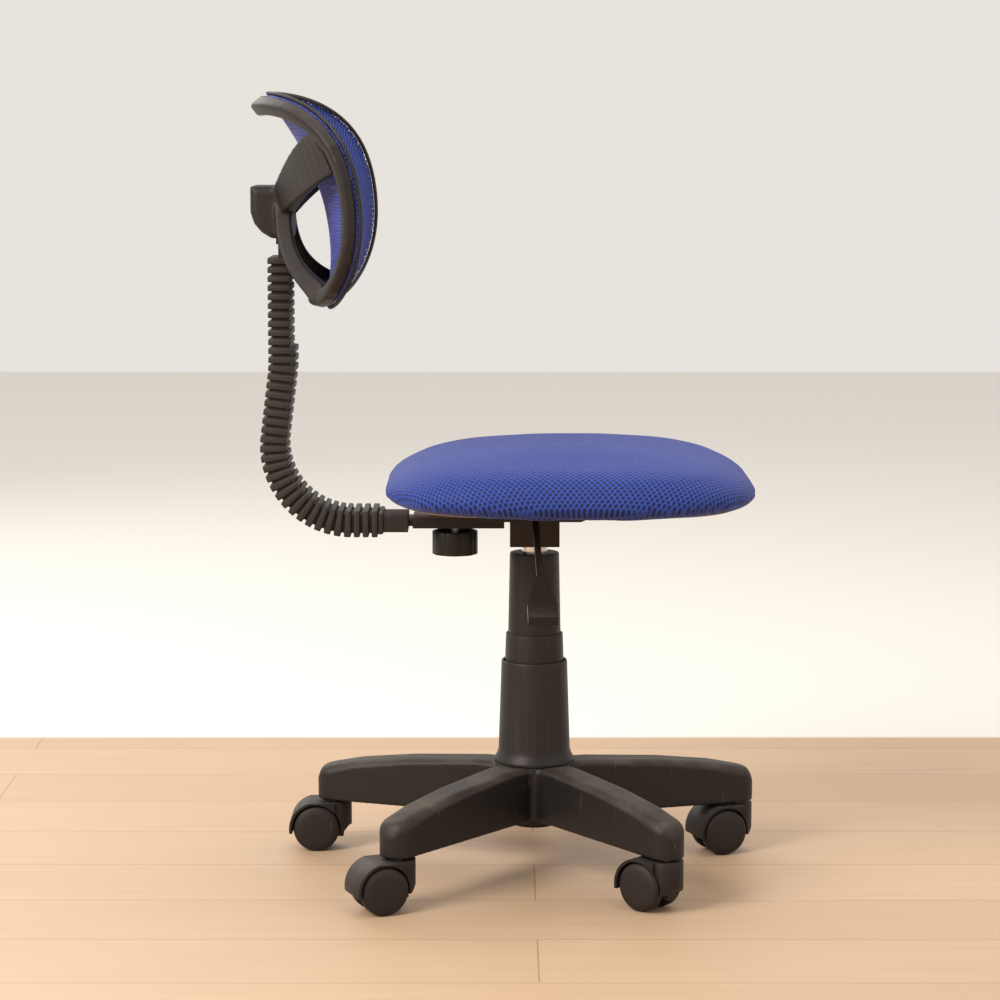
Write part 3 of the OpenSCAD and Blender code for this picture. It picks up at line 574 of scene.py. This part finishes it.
def buildBackMesh():
    piece = copyOfNode("back_mesh", "backMesh")
    divideKeepingRims(piece, 2)
    standFor(piece, "back_mesh", backClothFront)
    piece.data.materials.append(backClothRear)
    for face in piece.data.polygons:
        face.material_index = 0 if face.normal.x > meshSizes["frontFacing"] else 1
    return piece


def buildMelted(nodeName, pieceName, voxel, rounds, material):
    # one moulding with soft inner and outer corners: an even remesh, then light smoothing
    piece = copyOfNode(nodeName, pieceName)
    onlySelect(piece)
    piece.data.remesh_voxel_size = voxel
    bpy.ops.object.voxel_remesh()
    smooth = piece.modifiers.new("melt", "SMOOTH")
    smooth.factor = 0.5
    smooth.iterations = rounds
    applyModifiers(piece)
    bpy.ops.object.shade_smooth()
    standFor(piece, nodeName, material)
    return piece


backMesh = buildBackMesh()
backFrame = buildMelted("back_frame", "backFrame", 0.0017, 12, framePlastic)
clipRing = copyOfNode("clip_ring", "clipRing")
standFor(clipRing, "clip_ring", framePlastic)
divideKeepingRims(clipRing, 1, 30)
print("back frame:", len(backFrame.data.polygons), "faces")


# ---- base ----

armSizes = {
    "radius": 0.011,          # of the arms' long top edges
    "hubRadius": 0.041,
    "stemRadius": 0.0185,
    # half width, then top height, at distances from the column
    "halfWidths": [(0.06, 0.023), (0.23, 0.0185), (0.26, 0.0185)],
    "tops": [(0.06, 0.114), (0.14, 0.109), (0.20, 0.102), (0.2415, 0.093), (0.2495, 0.085)],
}


def between(table, at):
    # straight lines through the table's points, level beyond its ends
    if at <= table[0][0]:
        return table[0][1]
    for (u0, v0), (u1, v1) in zip(table, table[1:]):
        if at <= u1:
            return v0 + (v1 - v0) * (at - u0) / (u1 - u0)
    return table[-1][1]


def armFrames():
    frames = []
    for number in range(1, 6):
        low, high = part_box(f"caster_stem_{number}")
        middle = (low + high) / 2
        reach = math.hypot(middle.x, middle.y)
        frames.append((middle.x / reach, middle.y / reach, reach))
    return frames


def roundArms(piece):
    # the top edges of the arms roll down over a wide radius, more than the remesh can give
    radius = armSizes["radius"]
    frames = armFrames()
    for vertex in piece.data.vertices:
        x, y, z = vertex.co
        inside, along = -1.0, 0.0
        for dx, dy, reach in frames:
            u, across = x * dx + y * dy, abs(y * dx - x * dy)
            if u <= 0.0:
                continue
            if u < reach:
                depth = between(armSizes["halfWidths"], u) - across
            else:
                depth = armSizes["stemRadius"] - math.hypot(u - reach, across)
            if depth > inside:
                inside, along = depth, u
        if math.hypot(x, y) < armSizes["hubRadius"] or inside >= radius:
            continue
        top = between(armSizes["tops"], along)
        share = min(1.0, max(0.0, (z - top + 2 * radius) / (2 * radius)))
        gap = radius - max(0.0, inside)
        drop = radius - math.sqrt(max(0.0, radius * radius - gap * gap))
        vertex.co.z = z - drop * share * share
    return piece


starBase = buildMelted("star_base", "starBase", 0.0022, 8, basePlastic)
roundArms(starBase)
print("star base:", len(starBase.data.polygons), "faces")


# ---- parts that keep their shape and gain small edge radii ----

edgeRadius = {
    "depth_knob": (0.0008, trimPlastic, "trim_plastic"),
    "lever_grip": (0.0012, trimPlastic, "trim_plastic"),
    "lever_rod": (0.0006, blackSteel, "black_steel"),
    "bar_collar": (0.001, ribPlastic, "trim_plastic"),
    "bar_bush": (0.0006, trimPlastic, "trim_plastic"),
    "seat_plate": (0.0007, blackSteel, "black_steel"),
    "spine_bar": (0.0006, blackSteel, "black_steel"),
    "spine_cover": (0.0007, ribPlastic, "rib_plastic"),
    "upper_cover": (0.0005, coverPlastic, "cover_plastic"),
    "middle_cover": (0.0005, coverPlastic, "cover_plastic"),
    "lower_cover": (0.0006, coverPlastic, "cover_plastic"),
}
for number in range(1, 6):
    edgeRadius[f"caster_hood_{number}"] = (0.0009, casterPlastic, "caster_plastic")
    for side in "ab":
        edgeRadius[f"wheel_{number}{side}"] = (0.0005, wheelPlastic, "wheel_plastic")


def pieceName(nodeName):
    head, *rest = nodeName.split("_")
    return head + "".join(word.capitalize() for word in rest)


for nodeName, (width, material, slotName) in edgeRadius.items():
    piece = copyOfNode(nodeName, pieceName(nodeName))
    softenEdges(piece, width)
    standFor(piece, nodeName, material)
print("edges softened:", len(edgeRadius), "pieces")


# ---- floor, light and camera ----

stageSizes = {
    "floorHalf": 6.0,
    "wallAway": 0.647,
    "camera": (-0.0365, -3.1339, 0.8072),
    "pitch": 82.497,
    "lens": 107.77,
}


def floorMaterial(name):
    # pale planks as far as a straight line behind the chair, then the pale of the wall
    material, tree, shader = newMaterial(name)
    coords = tree.nodes.new("ShaderNodeTexCoord").outputs["Object"]
    planks = tree.nodes.new("ShaderNodeTexBrick")
    planks.inputs["Scale"].default_value = 1.0
    planks.inputs["Brick Width"].default_value = 1.25
    planks.inputs["Row Height"].default_value = 0.146
    planks.inputs["Mortar Size"].default_value = 0.0008
    planks.inputs["Color1"].default_value = (0.57, 0.395, 0.255, 1.0)
    planks.inputs["Color2"].default_value = (0.53, 0.362, 0.23, 1.0)
    planks.inputs["Mortar"].default_value = (0.33, 0.21, 0.13, 1.0)
    tree.links.new(coords, planks.inputs["Vector"])
    stretch = tree.nodes.new("ShaderNodeMapping")
    stretch.inputs["Scale"].default_value = (2.0, 26.0, 1.0)
    tree.links.new(coords, stretch.inputs["Vector"])
    figure = rampNode(tree, noiseNode(tree, stretch.outputs[0], 2.2, 5.0, 0.6), 0.35, 0.75)
    figure = mathNode(tree, "MULTIPLY", figure, 0.35)
    wood = mixColor(tree, figure, planks.outputs["Color"], (0.44, 0.285, 0.17))
    split = tree.nodes.new("ShaderNodeSeparateXYZ")
    tree.links.new(coords, split.inputs[0])
    behind = rampNode(tree, split.outputs["Y"], stageSizes["wallAway"], stageSizes["wallAway"] + 0.01)
    tree.links.new(mixColor(tree, behind, wood, (0.80, 0.77, 0.72)), shader.inputs["Base Color"])
    shader.inputs["Roughness"].default_value = 0.5
    return material


def areaLight(name, place, target, size, power, color=(1.0, 1.0, 1.0)):
    bpy.ops.object.light_add(type="AREA", location=place)
    lamp = bpy.context.active_object
    lamp.name = name
    lamp.data.shape = "RECTANGLE"
    lamp.data.size, lamp.data.size_y = size
    lamp.data.energy = power
    lamp.data.color = color
    lamp.rotation_euler = (Vector(target) - Vector(place)).to_track_quat("-Z", "Y").to_euler()
    return lamp


bpy.ops.mesh.primitive_plane_add(size=stageSizes["floorHalf"] * 2)
floor = bpy.context.active_object
floor.name = "floor"
floor.data.materials.append(floorMaterial("plankFloor"))

world = bpy.data.worlds.new("room")
bpy.context.scene.world = world
world.use_nodes = True
world.node_tree.nodes["Background"].inputs["Color"].default_value = (0.93, 0.89, 0.84, 1.0)
world.node_tree.nodes["Background"].inputs["Strength"].default_value = 0.86

areaLight("windowLeft", (-2.2, -2.0, 2.3), (0, 0, 0.45), (1.5, 1.5), 120, (1.0, 0.97, 0.93))
areaLight("overhead", (0.3, 0.2, 2.8), (0, 0, 0.4), (2.0, 2.0), 22, (1.0, 0.98, 0.95))
areaLight("fillRight", (2.4, -1.6, 1.2), (0, 0, 0.4), (1.5, 1.5), 6, (1.0, 0.97, 0.94))
areaLight("rimBack", (-1.5, 2.2, 1.8), (0, 0, 0.5), (1.5, 1.2), 18)

bpy.ops.object.camera_add(
    location=stageSizes["camera"], rotation=(math.radians(stageSizes["pitch"]), 0, 0))
camera = bpy.context.active_object
camera.data.lens = stageSizes["lens"]
camera.data.sensor_width = 36
bpy.context.scene.camera = camera
